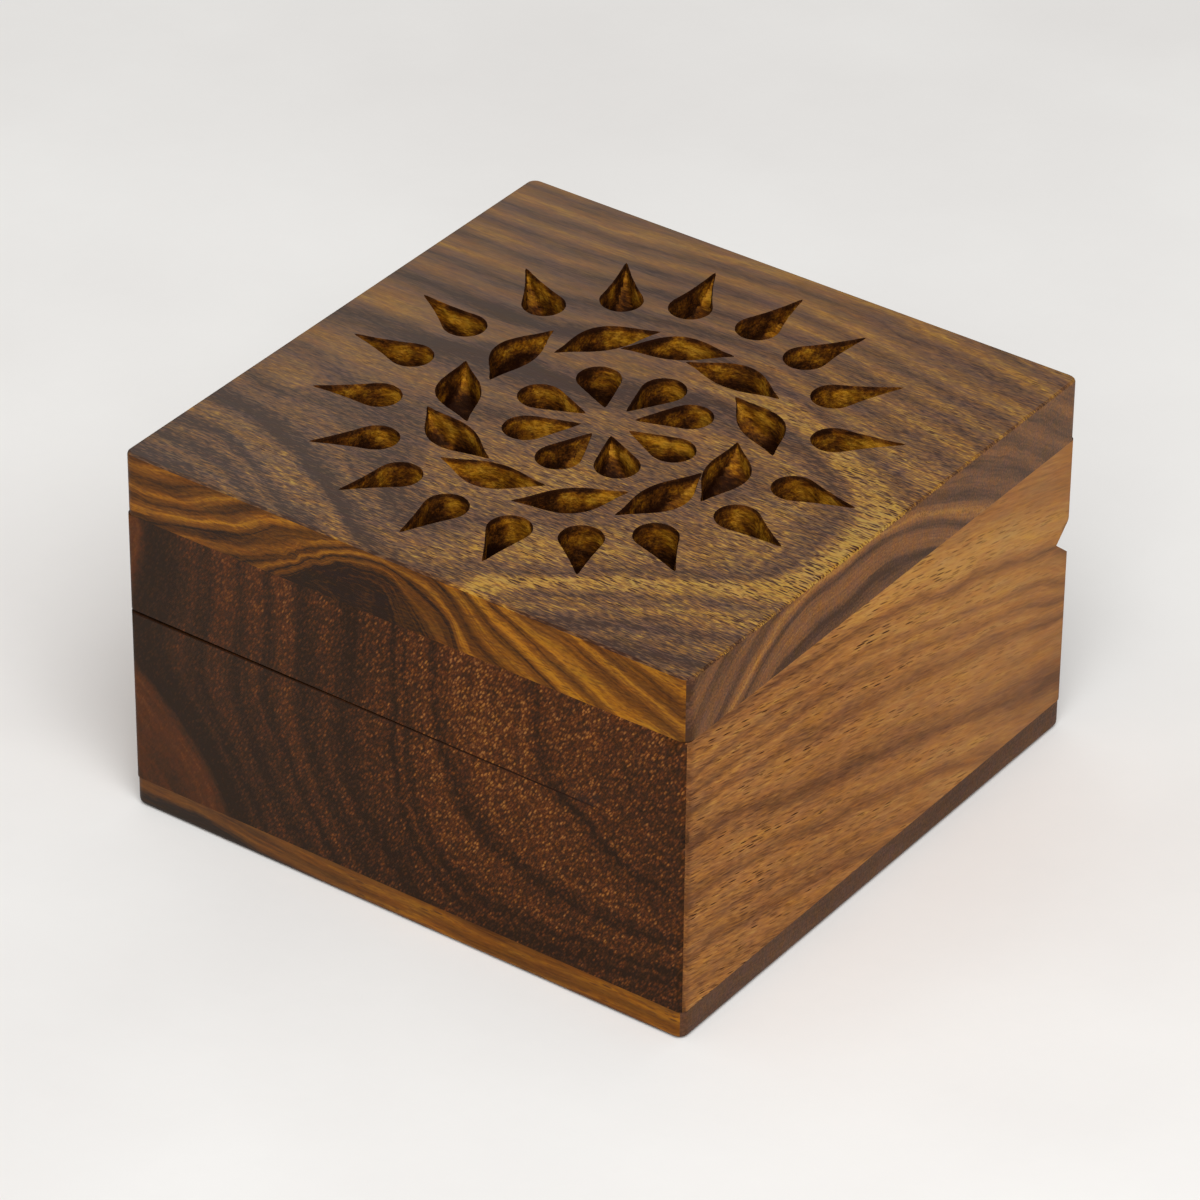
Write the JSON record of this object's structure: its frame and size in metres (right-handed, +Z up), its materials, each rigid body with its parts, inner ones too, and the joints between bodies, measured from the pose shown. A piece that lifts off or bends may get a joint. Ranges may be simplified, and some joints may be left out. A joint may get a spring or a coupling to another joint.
{
  "type": "carved wooden box",
  "caption": "Square keepsake box of hollowed wood with a thick pierced lid, a rosette of drops, leaves and petals, and brass butt hinges at the back.",
  "frame": {"origin": "under the middle of the closed box, on the surface that it stands on", "axes": "+Z up, -Y the front that the lid opens at, +Y the back with the hinges, +X the right side seen from the front"},
  "size_m": [0.102, 0.102, 0.063],
  "materials": {
    "board_wood": "waxed hardwood with grey-brown and golden stripes",
    "block_wood": "waxed hardwood, dark end grain in front and orange-brown long grain at the sides",
    "hinge_brass": "plain rolled brass"
  },
  "bodies": {
    "base": {"bottom_panel": "board_wood", "base_frame": "block_wood", "left_hinge_base_leaf": "hinge_brass", "left_hinge_base_screw_1": "hinge_brass", "left_hinge_base_screw_2": "hinge_brass", "left_hinge_pin": "hinge_brass", "right_hinge_base_leaf": "hinge_brass", "right_hinge_base_screw_1": "hinge_brass", "right_hinge_base_screw_2": "hinge_brass", "right_hinge_pin": "hinge_brass"},
    "lid": {"lid_frame": "block_wood", "top_panel": "board_wood", "left_hinge_lid_leaf": "hinge_brass", "left_hinge_lid_screw_1": "hinge_brass", "left_hinge_lid_screw_2": "hinge_brass", "right_hinge_lid_leaf": "hinge_brass", "right_hinge_lid_screw_1": "hinge_brass", "right_hinge_lid_screw_2": "hinge_brass"}
  },
  "joints": [
    {"name": "lid_hinge", "type": "hinge", "parent": "base", "child": "lid", "pos_m": [0, 0.0481, 0.035], "axis": [-1, 0, 0], "range_deg": [0, 103]}
  ]
}
